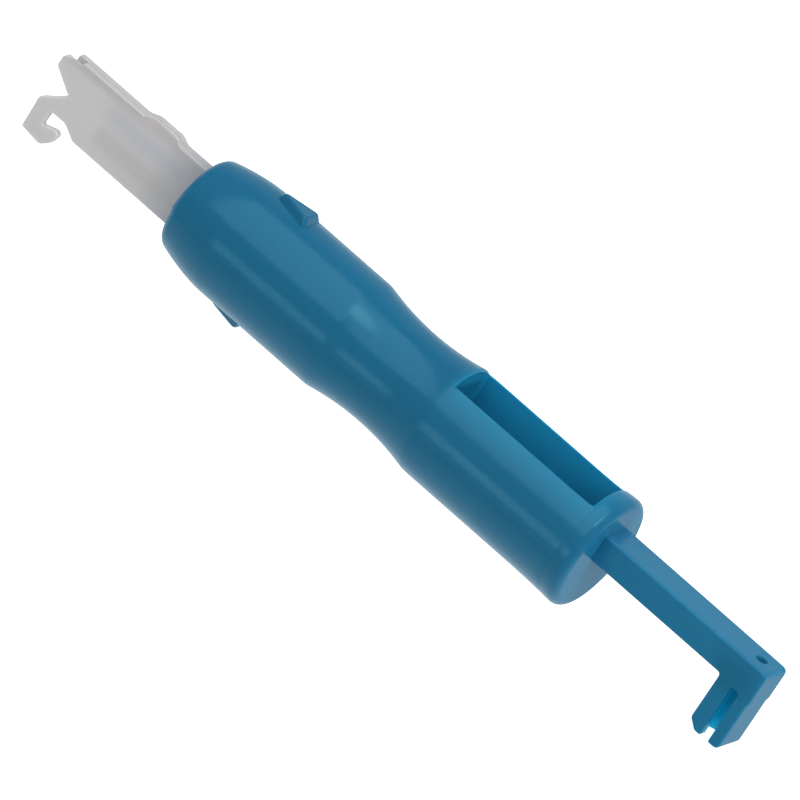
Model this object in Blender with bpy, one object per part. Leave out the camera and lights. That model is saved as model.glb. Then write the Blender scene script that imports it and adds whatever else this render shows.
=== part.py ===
"""Needle inserter and threader for a sewing machine.

A round two-shell handle carries a sprung, flat threader tip at its front end and a
fixed inserter arm at its rear end.  The tool lies along X: the threader tip points to
-X, the inserter arm to +X, and the window of the handle faces +Z.

Sizes are in millimetres, measured from the middle of the handle's front rim, with the
handle's axis at Y = 0, Z = 0.  The empty "tool_frame" moves all of it so that the
tool's lowest flat, on the lower direction mark, lies at Z = 0 and its length is
centred on X = 0.
"""

import math

import bmesh
import bpy
from mathutils import Matrix, Vector

MM = 0.001

# Handle
HANDLE_RADIUS = 6.75
HANDLE_END = 55.9
RIM_RADIUS = 4.5
RIM_ARC_LENGTH = 1.35
RIM_ARC_RISE = 1.32
RIM_ARC_SWEEP = math.radians(75)
DOME_END = 7.0
DOME_POWER = 1.7
WAIST_START = 22.5
WAIST_END = 35.8
WAIST_DEPTH = 0.77
ROUND_STEPS = 64
SEAM_GAP = 0.1
SHELL_REACH = 40.0

# Room inside the handle
BORE_RADIUS = 4.6
BORE_START = 2.5
BORE_END = 34.4
WINDOW_START = 36.05
WINDOW_HALF_WIDTH = 3.87
WINDOW_FLOOR = -4.0

# Raised direction marks on the top and on the bottom of the handle
MARK_FRONT = 8.0
MARK_REAR = 11.45
MARK_TOP = 7.5
MARK_FRONT_WIDTH = 0.5
MARK_REAR_WIDTH = 3.0
MARK_DRAFT = 0.45
MARK_EDGE = 0.15

# Threader tip: a hook plate on the -Y side and a guide plate on the +Y side
PLATE_THICKNESS = 0.98
PLATE_GAP = 0.1
PLATE_HALF_HEIGHT = 3.8
TIP_LENGTH = 20.25
COLLAR_RADIUS = 4.3
COLLAR_FRONT = 2.7
COLLAR_REAR = 5.2
TAIL_END = 4.7
CHANNEL_DEPTH = 0.55
SLOT_CLEARANCE = 0.2
STROKE_ROOM = 4.8
PIN_ROOM_HALF = 0.3
SLIT_HALF = 0.06
SLOPE_DROP = 0.05
EAR_FRONT = -8.2
EAR_REAR = -5.0
EAR_RISE = 0.4
EAR_RAMP = 1.2
EAR_INSET = 0.1
EAR_BOTTOM = 2.6

# Carrier, pin and spring
CARRIER_FOOT_RADIUS = 4.45
CARRIER_FOOT_FRONT = 31.2
CARRIER_FOOT_REAR = 34.2
CARRIER_ROD_RADIUS = 1.5
HEAD_FRONT = 11.0
HEAD_REAR = 15.0
HEAD_HALF_WIDTH = 1.0
HEAD_BELOW_STRIP = 0.3
BLADE_THICKNESS = 0.7
BLADE_LOW = 0.35
BLADE_HIGH = 2.7
BLADE_FRONT = -11.6
PIN_HEIGHT = -0.15
PIN_FRONT = -16.9
PIN_RADIUS = 0.15
PIN_WIRE_RADIUS = 0.14
PIN_POINT_RADIUS = 0.05
PIN_POINT_LENGTH = 0.5
NECK_FRONT = -7.5
STRIP_FRONT = -6.0
STRIP_REAR = 13.8
STRIP_THICKNESS = 0.3
STRIP_LOW = -2.0
STRIP_HIGH = 0.1
SPRING_RADIUS = 3.5
SPRING_WIRE_RADIUS = 0.3
SPRING_TURNS = 9
SPRING_FRONT = 5.7
SPRING_REAR = 30.7
SPRING_STEPS_PER_TURN = 16

# Inserter end: disc, arm and leg
DISC_RADIUS = 6.93
DISC_FRONT = 56.0
DISC_REAR = 58.2
DISC_EDGE = 0.5
ARM_TOP = 3.3
ARM_HALF_WIDTH = 2.42
ARM_EDGE = 0.3
ARM_END = 81.0
LEG_THICKNESS = 4.5
LEG_TIP = -6.8
LEG_TIP_CHAMFER = 0.9
LEG_EDGE_CHAMFER = 0.8
NEEDLE_X = 78.7
NEEDLE_HOLE_RADIUS = 0.65
NEEDLE_ROOM_RADIUS = 1.05
NEEDLE_ROOM_TOP = 0.4
SLOT_FRONT = 78.5
SLOT_REAR = 79.7
SLOT_TOP = -0.3
PEG_RADIUS = 0.7
PEG_CLEARANCE = 0.15
PEG_LENGTH = 3.0
PEG_Y = 5.2
PEG_Z = 1.7

# How pieces and cutters are made: joined solids reach OVERLAP into each other, cutters
# reach CUT_PAST the faces they open, and moving pieces have PLAY round them
OVERLAP = 1.0
CUT_PAST = 1.0
PLAY = 0.2
STRIP_PLAY = 0.1
ROOM_OVERLAP = 0.35
RIM_STEPS = 5
DOME_STEPS = 5
WAIST_STEPS = 10
BORE_STEPS = 48
COLLAR_STEPS = 32
ROD_STEPS = 24
PEG_STEPS = 12
PIN_STEPS = 12
WIRE_SIDES = 6

TOOL_FRAME_PLACE = ((TIP_LENGTH - ARM_END) / 2, 0.0, MARK_TOP)


# ---------------------------------------------------------------- scene and helpers

def clear_scene():
    for item in list(bpy.data.objects):
        bpy.data.objects.remove(item, do_unlink=True)


def plastic(name, colour, roughness, metallic=0.0):
    material = bpy.data.materials.new(name)
    material.use_nodes = True
    shader = material.node_tree.nodes["Principled BSDF"]
    shader.inputs["Base Color"].default_value = (*colour, 1.0)
    shader.inputs["Roughness"].default_value = roughness
    shader.inputs["Metallic"].default_value = metallic
    return material


def add_object(name, bm, parent, material=None):
    """Turn a bmesh in millimetres into a named object in metres."""
    bmesh.ops.scale(bm, vec=(MM, MM, MM), verts=bm.verts)
    bmesh.ops.recalc_face_normals(bm, faces=bm.faces)
    mesh = bpy.data.meshes.new(name)
    bm.to_mesh(mesh)
    bm.free()
    item = bpy.data.objects.new(name, mesh)
    bpy.context.scene.collection.objects.link(item)
    item.parent = parent
    if material:
        mesh.materials.append(material)
        mesh.shade_smooth()
        mesh.set_sharp_from_angle(angle=math.radians(30))
    return item


def tool_piece(name, bm, parent):
    """A solid that only shapes other solids, so it is not part of the tool."""
    item = add_object(name, bm, parent)
    item.hide_render = True
    item.display_type = "WIRE"
    return item


def shape_with(target, cutter, operation="DIFFERENCE"):
    modifier = target.modifiers.new(cutter.name, "BOOLEAN")
    modifier.operation = operation
    modifier.object = cutter


def round_edges(target, width, segments=1):
    modifier = target.modifiers.new("round_edges", "BEVEL")
    modifier.width = width * MM
    modifier.segments = segments
    modifier.limit_method = "ANGLE"
    modifier.angle_limit = math.radians(40)


def box(low, high):
    bm = bmesh.new()
    bmesh.ops.create_cube(bm, size=1.0)
    size = Vector(high) - Vector(low)
    bmesh.ops.scale(bm, vec=size, verts=bm.verts)
    bmesh.ops.translate(bm, vec=(Vector(low) + Vector(high)) / 2, verts=bm.verts)
    return bm


def turned(profile, steps=ROUND_STEPS):
    """A solid turned about the X axis from (x, radius) points, front to rear."""
    bm = bmesh.new()
    rings = []
    for x, radius in profile:
        ring = []
        for step in range(steps):
            turn = 2 * math.pi * step / steps
            ring.append(bm.verts.new((x, radius * math.cos(turn), radius * math.sin(turn))))
        rings.append(ring)
    for front, rear in zip(rings, rings[1:]):
        for step in range(steps):
            following = (step + 1) % steps
            bm.faces.new((front[step], front[following], rear[following], rear[step]))
    bm.faces.new(rings[0])
    bm.faces.new(rings[-1])
    return bm


def cylinder(front, rear, radius, steps=ROUND_STEPS, y=0.0, z=0.0):
    bm = turned([(front, radius), (rear, radius)], steps)
    bmesh.ops.translate(bm, vec=(0.0, y, z), verts=bm.verts)
    return bm


def plate(outline, y_low, y_high):
    """A flat plate with an (x, z) outline, standing between two Y planes."""
    bm = bmesh.new()
    near = [bm.verts.new((x, y_low, z)) for x, z in outline]
    far = [bm.verts.new((x, y_high, z)) for x, z in outline]
    bm.faces.new(near)
    bm.faces.new(far)
    count = len(outline)
    for index in range(count):
        following = (index + 1) % count
        bm.faces.new((near[index], near[following], far[following], far[index]))
    return bm


# ---------------------------------------------------------------- handle shells

def handle_profile():
    """Outer (x, radius) points: rolled rim, domed nose, straight, waist, straight."""
    points = []
    for step in range(RIM_STEPS + 1):
        turn = RIM_ARC_SWEEP * step / RIM_STEPS
        points.append((RIM_ARC_LENGTH * (1 - math.cos(turn)), RIM_RADIUS + RIM_ARC_RISE * math.sin(turn)))
    dome_start, dome_radius = points[-1]
    for step in range(1, DOME_STEPS + 1):
        share = step / DOME_STEPS
        x = dome_start + (DOME_END - dome_start) * share
        points.append((x, HANDLE_RADIUS - (HANDLE_RADIUS - dome_radius) * (1 - share) ** DOME_POWER))
    half_length = (WAIST_END - WAIST_START) / 2
    waist_radius = half_length ** 2 / (2 * WAIST_DEPTH) + WAIST_DEPTH / 2
    waist_middle = (WAIST_START + WAIST_END) / 2
    for step in range(WAIST_STEPS + 1):
        x = WAIST_START + (WAIST_END - WAIST_START) * step / WAIST_STEPS
        rise = math.sqrt(waist_radius ** 2 - (x - waist_middle) ** 2) - (waist_radius - WAIST_DEPTH)
        points.append((x, HANDLE_RADIUS - rise))
    points.append((HANDLE_END, HANDLE_RADIUS))
    return points


def direction_mark(side):
    """A raised wedge that points to the threader end; side is +1 on top, -1 below."""
    bm = bmesh.new()
    base = HANDLE_RADIUS - OVERLAP
    corners = []
    for z, draft in ((base, MARK_DRAFT), (MARK_TOP, 0.0)):
        front_half = MARK_FRONT_WIDTH / 2 + draft
        rear_half = MARK_REAR_WIDTH / 2 + draft
        outline = (
            (MARK_FRONT - draft, -front_half),
            (MARK_REAR + draft, -rear_half),
            (MARK_REAR + draft, rear_half),
            (MARK_FRONT - draft, front_half),
        )
        corners.append([bm.verts.new((x, y, side * z)) for x, y in outline])
    inner, outer = corners
    bm.faces.new(inner)
    bm.faces.new(outer)
    for index in range(4):
        following = (index + 1) % 4
        bm.faces.new((inner[index], inner[following], outer[following], outer[index]))
    return bm


def handle_shell(name, side, frame, material, cutters):
    """One half of the handle; side is +1 for the upper shell, -1 for the lower."""
    shell = add_object(name, turned(handle_profile()), frame, material)
    seam = side * SEAM_GAP / 2
    far = -side * SHELL_REACH
    other_half = box(
        (-SHELL_REACH, -SHELL_REACH, min(seam, far)),
        (HANDLE_END + SHELL_REACH, SHELL_REACH, max(seam, far)),
    )
    shape_with(shell, tool_piece(f"{name}_other_half", other_half, frame))
    for cutter in cutters:
        shape_with(shell, cutter)
    mark = tool_piece(f"{name}_mark", direction_mark(side), frame)
    round_edges(mark, MARK_EDGE)
    shape_with(shell, mark, "UNION")
    return shell


def handle_cutters(frame):
    """The bore, the tip's slot, the window and the peg holes, shared by both shells."""
    slot_half_width = PLATE_THICKNESS + PLATE_GAP / 2 + SLOT_CLEARANCE
    slot_half_height = PLATE_HALF_HEIGHT + SLOT_CLEARANCE
    bore = cylinder(BORE_START, BORE_END, BORE_RADIUS, BORE_STEPS)
    slot = box(
        (-CUT_PAST, -slot_half_width, -slot_half_height),
        (BORE_START + CUT_PAST, slot_half_width, slot_half_height),
    )
    window = box(
        (WINDOW_START, -WINDOW_HALF_WIDTH, WINDOW_FLOOR),
        (HANDLE_END + CUT_PAST, WINDOW_HALF_WIDTH, HANDLE_RADIUS + CUT_PAST),
    )
    cutters = [
        tool_piece("bore_cutter", bore, frame),
        tool_piece("slot_cutter", slot, frame),
        tool_piece("window_cutter", window, frame),
    ]
    for number, (y, z) in enumerate(peg_places(), start=1):
        hole = cylinder(
            DISC_FRONT - PEG_LENGTH - 2 * PEG_CLEARANCE,
            DISC_FRONT + CUT_PAST,
            PEG_RADIUS + PEG_CLEARANCE,
            PEG_STEPS,
            y,
            z,
        )
        cutters.append(tool_piece(f"peg_hole_cutter_{number}", hole, frame))
    return cutters


def peg_places():
    return [(side_y * PEG_Y, side_z * PEG_Z) for side_y in (-1, 1) for side_z in (-1, 1)]


# ---------------------------------------------------------------- inserter end

def arm_outline():
    """The arm and its leg in side view, with chamfers at the leg's tip."""
    leg_front = ARM_END - LEG_THICKNESS
    inside_disc = DISC_REAR - OVERLAP
    return [
        (inside_disc, 0.0),
        (leg_front, 0.0),
        (leg_front, LEG_TIP + LEG_TIP_CHAMFER),
        (leg_front + LEG_TIP_CHAMFER, LEG_TIP),
        (ARM_END - LEG_TIP_CHAMFER, LEG_TIP),
        (ARM_END, LEG_TIP + LEG_TIP_CHAMFER),
        (ARM_END, ARM_TOP),
        (inside_disc, ARM_TOP),
    ]


def leg_edge_cutter():
    """A square bar stood on its edge, which chamfers the leg's front corner on the -Y side."""
    half = LEG_EDGE_CHAMFER / math.sqrt(2)
    bm = box((-half, -half, LEG_TIP - CUT_PAST), (half, half, SLOT_TOP))
    eighth_turn = Matrix.Rotation(math.radians(45), 3, "Z")
    bmesh.ops.rotate(bm, matrix=eighth_turn, verts=bm.verts)
    bmesh.ops.translate(bm, vec=(ARM_END - LEG_THICKNESS, -ARM_HALF_WIDTH, 0.0), verts=bm.verts)
    return bm


def upright(radius, low, high):
    """A cylinder on the needle's line."""
    bm = bmesh.new()
    bmesh.ops.create_cone(
        bm,
        cap_ends=True,
        segments=ROD_STEPS,
        radius1=radius,
        radius2=radius,
        depth=high - low,
    )
    bmesh.ops.translate(bm, vec=(NEEDLE_X, 0.0, (low + high) / 2), verts=bm.verts)
    return bm


def inserter_end(frame, material):
    """The end disc with its pegs, the arm and the slotted leg, moulded in one."""
    disc_profile = [
        (DISC_FRONT, DISC_RADIUS - DISC_EDGE / 2),
        (DISC_FRONT + DISC_EDGE / 2, DISC_RADIUS),
        (DISC_REAR - DISC_EDGE, DISC_RADIUS),
        (DISC_REAR - DISC_EDGE / 3, DISC_RADIUS - DISC_EDGE / 3),
        (DISC_REAR, DISC_RADIUS - DISC_EDGE),
    ]
    body = add_object("inserter_end", turned(disc_profile), frame, material)
    for number, (y, z) in enumerate(peg_places(), start=1):
        peg = cylinder(DISC_FRONT - PEG_LENGTH, DISC_FRONT + OVERLAP, PEG_RADIUS, PEG_STEPS, y, z)
        shape_with(body, tool_piece(f"peg_{number}", peg, frame), "UNION")
    arm = tool_piece("arm", plate(arm_outline(), -ARM_HALF_WIDTH, ARM_HALF_WIDTH), frame)
    round_edges(arm, ARM_EDGE, 2)
    shape_with(body, arm, "UNION")
    shape_with(body, tool_piece("leg_edge_cutter", leg_edge_cutter(), frame))
    hole = upright(NEEDLE_HOLE_RADIUS, 0.0, 2 * ARM_TOP)
    room = upright(NEEDLE_ROOM_RADIUS, 2 * LEG_TIP, NEEDLE_ROOM_TOP)
    slot = box((SLOT_FRONT, -2 * ARM_HALF_WIDTH, 2 * LEG_TIP), (SLOT_REAR, 0.0, SLOT_TOP))
    shape_with(body, tool_piece("needle_hole_cutter", hole, frame))
    shape_with(body, tool_piece("needle_room_cutter", room, frame))
    shape_with(body, tool_piece("needle_slot_cutter", slot, frame))
    return body


# ---------------------------------------------------------------- threader tip

def hook_plate_outline():
    """Upper jaw, V mouth, slit, lower jaw and thread hook, then the straight tail."""
    return [
        (TAIL_END, PLATE_HALF_HEIGHT),
        (-18.3, PLATE_HALF_HEIGHT - SLOPE_DROP),
        (-19.4, 3.5),
        (-20.0, 3.1),
        (-TIP_LENGTH, 2.6),
        (-20.2, 1.6),
        (-17.65, 0.0),
        (-17.2, PIN_HEIGHT + SLIT_HALF),
        (-13.9, PIN_HEIGHT + SLIT_HALF),
        (-13.9, PIN_HEIGHT - SLIT_HALF),
        (-17.2, PIN_HEIGHT - SLIT_HALF),
        (-18.3, -1.1),
        (-20.0, -2.36),
        (-19.85, -6.2),
        (-17.3, -6.5),
        (-16.7, -6.25),
        (-16.2, -5.6),
        (-15.9, -4.6),
        (-16.05, -4.25),
        (-16.45, -4.2),
        (-17.8, -4.65),
        (-18.1, -4.45),
        (-18.05, -2.8),
        (-15.95, -2.8),
        (-14.25, -PLATE_HALF_HEIGHT),
        (TAIL_END, -PLATE_HALF_HEIGHT),
    ]


def guide_plate_outline():
    """The plate behind: the same V mouth with shorter jaws and no hook."""
    return [
        (TAIL_END, PLATE_HALF_HEIGHT),
        (-18.9, PLATE_HALF_HEIGHT - SLOPE_DROP),
        (-19.25, 3.4),
        (-19.25, 1.0),
        (-17.2, PIN_HEIGHT),
        (-18.95, -1.85),
        (-18.5, -2.6),
        (-15.95, -2.8),
        (-14.25, -PLATE_HALF_HEIGHT),
        (TAIL_END, -PLATE_HALF_HEIGHT),
    ]


def tip_plate(name, side, outline, parent, material):
    """One plate of the tip; side is -1 for the hook plate, +1 for the guide plate."""
    inner = side * PLATE_GAP / 2
    outer = side * (PLATE_GAP / 2 + PLATE_THICKNESS)
    past_inner = -side * PLATE_THICKNESS / 2
    solid = plate(outline, min(past_inner, outer), max(past_inner, outer))
    body = add_object(name, solid, parent, material)

    collar = cylinder(COLLAR_FRONT, COLLAR_REAR, COLLAR_RADIUS, COLLAR_STEPS)
    shape_with(body, tool_piece(f"{name}_collar", collar, parent), "UNION")

    ear_outer = outer - side * EAR_INSET
    ear = plate(ear_outline(), min(past_inner, ear_outer), max(past_inner, ear_outer))
    shape_with(body, tool_piece(f"{name}_ear", ear, parent), "UNION")

    reach = 2 * TIP_LENGTH
    other_side = box(
        (-reach, min(inner, -side * reach), -reach),
        (reach, max(inner, -side * reach), reach),
    )
    shape_with(body, tool_piece(f"{name}_other_side", other_side, parent))

    for number, (low, high) in enumerate(channel_rooms(), start=1):
        room = box(
            (low[0], -CHANNEL_DEPTH, low[1]),
            (high[0], CHANNEL_DEPTH, high[1]),
        )
        shape_with(body, tool_piece(f"{name}_room_{number}", room, parent))
    return body


def ear_outline():
    """The stop ear on a plate's top edge in side view, with a ramp at each end."""
    top = PLATE_HALF_HEIGHT + EAR_RISE
    ramp_foot = PLATE_HALF_HEIGHT - EAR_RISE
    return [
        (EAR_FRONT - EAR_RAMP, EAR_BOTTOM),
        (EAR_REAR + EAR_RAMP, EAR_BOTTOM),
        (EAR_REAR + EAR_RAMP, ramp_foot),
        (EAR_REAR, top),
        (EAR_FRONT, top),
        (EAR_FRONT - EAR_RAMP, ramp_foot),
    ]


def channel_rooms():
    """(x, z) corners of the rooms between the plates: for the blade, the strip and the pin."""
    behind = COLLAR_REAR + CUT_PAST
    strip_room_front = NECK_FRONT - STROKE_ROOM
    blade_room = (
        (BLADE_FRONT - STROKE_ROOM, BLADE_LOW - ROOM_OVERLAP),
        (behind, BLADE_HIGH + PLAY),
    )
    strip_room = (
        (strip_room_front, STRIP_LOW - PLAY),
        (behind + CUT_PAST, BLADE_LOW + ROOM_OVERLAP),
    )
    pin_room = (
        (-TIP_LENGTH - CUT_PAST, PIN_HEIGHT - PIN_ROOM_HALF),
        (strip_room_front + OVERLAP, PIN_HEIGHT + PIN_ROOM_HALF),
    )
    return [blade_room, strip_room, pin_room]


def pin_carrier(frame, material):
    """Foot, rod, head and blade: the fixed core that the tip slides over."""
    body = add_object(
        "pin_carrier",
        cylinder(CARRIER_FOOT_FRONT, CARRIER_FOOT_REAR, CARRIER_FOOT_RADIUS, COLLAR_STEPS),
        frame,
        material,
    )
    rod = cylinder(HEAD_REAR - OVERLAP, CARRIER_FOOT_REAR - OVERLAP, CARRIER_ROD_RADIUS, ROD_STEPS)
    head = box(
        (HEAD_FRONT, -HEAD_HALF_WIDTH, STRIP_LOW - HEAD_BELOW_STRIP),
        (HEAD_REAR, HEAD_HALF_WIDTH, BLADE_HIGH),
    )
    half = BLADE_THICKNESS / 2
    blade = box((BLADE_FRONT, -half, BLADE_LOW), (HEAD_FRONT + OVERLAP, half, BLADE_HIGH))
    for name, solid in (("rod", rod), ("head", head), ("blade", blade)):
        shape_with(body, tool_piece(f"carrier_{name}", solid, frame), "UNION")
    slit_half = STRIP_THICKNESS / 2 + STRIP_PLAY
    slit = box(
        (HEAD_FRONT - CUT_PAST, -slit_half, STRIP_LOW - STRIP_PLAY),
        (STRIP_REAR + PLAY, slit_half, STRIP_HIGH + STRIP_PLAY),
    )
    shape_with(body, tool_piece("strip_slit_cutter", slit, frame))
    return body


def threading_pin(frame, material):
    """A thin steel strip whose front end is drawn out into a fine round pin."""
    half = STRIP_THICKNESS / 2
    outline = [
        (STRIP_REAR, STRIP_HIGH),
        (STRIP_FRONT, STRIP_HIGH),
        (NECK_FRONT, PIN_HEIGHT + PIN_RADIUS),
        (NECK_FRONT, PIN_HEIGHT - PIN_RADIUS),
        (STRIP_FRONT, STRIP_LOW),
        (STRIP_REAR, STRIP_LOW),
    ]
    body = add_object("threading_pin", plate(outline, -half, half), frame, material)
    pin_profile = [
        (PIN_FRONT, PIN_POINT_RADIUS),
        (PIN_FRONT + PIN_POINT_LENGTH, PIN_WIRE_RADIUS),
        (NECK_FRONT + OVERLAP, PIN_WIRE_RADIUS),
    ]
    pin = turned(pin_profile, PIN_STEPS)
    bmesh.ops.translate(pin, vec=(0.0, 0.0, PIN_HEIGHT), verts=pin.verts)
    shape_with(body, tool_piece("pin_wire", pin, frame), "UNION")
    return body


def return_spring(parent, material):
    """A compression spring wound by a loop: one ring of wire for each step."""
    bm = bmesh.new()
    steps = SPRING_TURNS * SPRING_STEPS_PER_TURN
    pitch = (SPRING_REAR - SPRING_FRONT) / steps
    rings = []
    for step in range(steps + 1):
        turn = 2 * math.pi * step / SPRING_STEPS_PER_TURN
        outward = Vector((0.0, math.cos(turn), math.sin(turn)))
        middle = outward * SPRING_RADIUS + Vector((SPRING_FRONT + pitch * step, 0.0, 0.0))
        ring = []
        for side in range(WIRE_SIDES):
            around = 2 * math.pi * side / WIRE_SIDES
            offset = outward * math.cos(around) + Vector((math.sin(around), 0.0, 0.0))
            ring.append(bm.verts.new(middle + offset * SPRING_WIRE_RADIUS))
        rings.append(ring)
    for front, rear in zip(rings, rings[1:]):
        for side in range(WIRE_SIDES):
            following = (side + 1) % WIRE_SIDES
            bm.faces.new((front[side], front[following], rear[following], rear[side]))
    bm.faces.new(rings[0])
    bm.faces.new(rings[-1])
    return add_object("return_spring", bm, parent, material)


# ---------------------------------------------------------------- assembly

def main():
    clear_scene()
    blue = plastic("blue_plastic", (0.018, 0.195, 0.375), 0.28)
    milky = plastic("milky_plastic", (0.62, 0.62, 0.63), 0.4)
    steel = plastic("spring_steel", (0.55, 0.56, 0.58), 0.3, 1.0)

    frame = bpy.data.objects.new("tool_frame", None)
    frame.location = Vector(TOOL_FRAME_PLACE) * MM
    bpy.context.scene.collection.objects.link(frame)
    slide = bpy.data.objects.new("tip_slide", None)
    slide.parent = frame
    bpy.context.scene.collection.objects.link(slide)

    cutters = handle_cutters(frame)
    handle_shell("upper_shell", 1, frame, blue, cutters)
    handle_shell("lower_shell", -1, frame, blue, cutters)
    inserter_end(frame, blue)
    tip_plate("hook_plate", -1, hook_plate_outline(), slide, milky)
    tip_plate("guide_plate", 1, guide_plate_outline(), slide, milky)
    pin_carrier(frame, blue)
    threading_pin(frame, steel)
    return_spring(frame, steel)


main()
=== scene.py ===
"""Looks of the needle inserter and threader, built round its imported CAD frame.

Every piece is modelled in millimetres from the middle of the handle's front rim, the
tool lying along X, and is then placed in the frame.  The sizes that the frame knows
are read from its nodes.
"""

import math

import bmesh
import bpy
from mathutils import Matrix, Vector


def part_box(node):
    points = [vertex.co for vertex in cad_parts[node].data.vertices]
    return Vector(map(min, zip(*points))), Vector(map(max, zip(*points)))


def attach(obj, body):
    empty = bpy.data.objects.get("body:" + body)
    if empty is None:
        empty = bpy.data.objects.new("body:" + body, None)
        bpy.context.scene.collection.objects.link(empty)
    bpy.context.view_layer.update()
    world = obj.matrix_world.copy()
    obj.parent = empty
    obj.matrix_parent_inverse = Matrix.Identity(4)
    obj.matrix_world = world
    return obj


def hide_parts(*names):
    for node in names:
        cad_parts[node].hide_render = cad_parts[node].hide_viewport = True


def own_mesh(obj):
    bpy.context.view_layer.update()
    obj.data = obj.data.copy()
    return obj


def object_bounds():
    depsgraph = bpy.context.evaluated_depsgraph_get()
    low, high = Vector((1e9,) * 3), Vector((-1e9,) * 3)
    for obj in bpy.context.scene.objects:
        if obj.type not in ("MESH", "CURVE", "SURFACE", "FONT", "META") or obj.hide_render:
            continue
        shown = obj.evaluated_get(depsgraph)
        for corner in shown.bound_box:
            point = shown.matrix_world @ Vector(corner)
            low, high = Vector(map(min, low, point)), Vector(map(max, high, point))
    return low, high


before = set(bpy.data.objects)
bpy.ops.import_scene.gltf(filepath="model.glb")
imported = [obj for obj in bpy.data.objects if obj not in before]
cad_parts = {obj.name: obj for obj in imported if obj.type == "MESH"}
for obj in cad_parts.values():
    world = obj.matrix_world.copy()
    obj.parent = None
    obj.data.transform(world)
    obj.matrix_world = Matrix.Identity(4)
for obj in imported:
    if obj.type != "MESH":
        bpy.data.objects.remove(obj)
cad_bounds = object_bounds()

MM = 0.001
upper_low, upper_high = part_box("upper_shell")
lower_low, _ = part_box("lower_shell")
_, end_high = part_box("inserter_end")
hook_low, hook_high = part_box("hook_plate")
pin_low, pin_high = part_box("threading_pin")
_, spring_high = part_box("return_spring")
carrier_low, carrier_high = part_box("pin_carrier")
RIM = Vector((upper_low.x, 0.0, (upper_high.z + lower_low.z) / 2))

# Handle
HANDLE_RADIUS = upper_high.y / MM
HANDLE_END = (upper_high.x - RIM.x) / MM
MARK_TOP = (upper_high.z - RIM.z) / MM
RIM_RADIUS = 4.5
RIM_ARC_LENGTH = 1.35
RIM_ARC_RISE = 1.32
RIM_ARC_SWEEP = math.radians(75)
RIM_STEP = 0.15
DOME_END = 7.0
DOME_POWER = 1.7
WAIST_START = 21.75
WAIST_END = 36.45
WAIST_DEPTH = 0.77
WAIST_SOFTNESS = 4.0
FLARE_START = 51.0
FLARE_RISE = 0.12
JOINT_DEPTH = 0.02
BORE_RADIUS = 4.6
BORE_START = 2.5
BORE_END = 34.4
WINDOW_START = 36.05
WINDOW_HALF_WIDTH = 3.87
WINDOW_FLOOR = -4.0
WINDOW_EDGE = 0.28
MARK_FRONT = 8.0
MARK_REAR = 11.8
MARK_FRONT_WIDTH = 0.5
MARK_REAR_WIDTH = 3.0
MARK_DRAFT = 0.45

# Threader tip
PLATE_THICKNESS = 0.98
PLATE_GAP = 0.1
PLATE_HALF_HEIGHT = 3.8
TIP_FRONT = (hook_low.x - RIM.x) / MM
MOUTH_END = -17.2
HOOK_BOTTOM = (hook_low.z - RIM.z) / MM
COLLAR_RADIUS = 4.3
COLLAR_FRONT = 2.7
COLLAR_REAR = 5.2
TAIL_END = 4.7
CHANNEL_DEPTH = 0.55
SLOT_CLEARANCE = 0.2
EAR_FRONT = -8.2
EAR_REAR = -5.0
EAR_RAMP = 1.3
EAR_REAR_RAMP = 0.8
EAR_TOP = (hook_high.z - RIM.z) / MM

# Carrier, pin and spring
CARRIER_FOOT_RADIUS = carrier_high.y / MM
CARRIER_FOOT_FRONT = 31.2
CARRIER_FOOT_REAR = (carrier_high.x - RIM.x) / MM
CARRIER_ROD_RADIUS = 1.5
HEAD_FRONT = 11.0
HEAD_REAR = 15.0
BLADE_THICKNESS = 0.7
BLADE_LOW = 0.35
BLADE_HIGH = 2.7
BLADE_FRONT = (carrier_low.x - RIM.x) / MM
PIN_HEIGHT = -0.15
PIN_FRONT = (pin_low.x - RIM.x) / MM
PIN_RADIUS = 0.15
NECK_FRONT = -7.5
STRIP_FRONT = -6.0
STRIP_REAR = (pin_high.x - RIM.x) / MM
STRIP_THICKNESS = 0.3
STRIP_LOW = -2.0
STRIP_HIGH = 0.1
SPRING_WIRE_RADIUS = 0.3
SPRING_RADIUS = spring_high.y / MM - SPRING_WIRE_RADIUS
SPRING_TURNS = 9
SPRING_FRONT = 5.7
SPRING_REAR = 30.7

# Inserter end
DISC_RADIUS = end_high.y / MM
DISC_FRONT = 56.0
DISC_REAR = 58.2
ARM_TOP = 3.3
ARM_HALF_WIDTH = 2.42
ARM_END = (end_high.x - RIM.x) / MM
LEG_THICKNESS = 4.5
LEG_TIP = -6.8
NEEDLE_X = 78.7
NEEDLE_HOLE_RADIUS = 0.65
NEEDLE_ROOM_RADIUS = 1.05
NEEDLE_ROOM_TOP = 0.4
SLOT_FRONT = 78.4
SLOT_REAR = 79.5
SLOT_TOP = -0.3


# ---------------------------------------------------------------- mesh helpers

def settled_object(name, bm):
    """Turns a bmesh in millimetres from the rim into an object in the frame, in metres."""
    bmesh.ops.recalc_face_normals(bm, faces=bm.faces)
    bmesh.ops.scale(bm, vec=(MM, MM, MM), verts=bm.verts)
    bmesh.ops.translate(bm, vec=RIM, verts=bm.verts)
    mesh = bpy.data.meshes.new(name)
    bm.to_mesh(mesh)
    bm.free()
    item = bpy.data.objects.new(name, mesh)
    bpy.context.scene.collection.objects.link(item)
    return item


def shape_with(target, cutter, operation="DIFFERENCE"):
    """Cuts one object out of another, or joins the two with UNION."""
    modifier = target.modifiers.new(cutter.name, "BOOLEAN")
    modifier.operation = operation
    modifier.object = cutter


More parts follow.
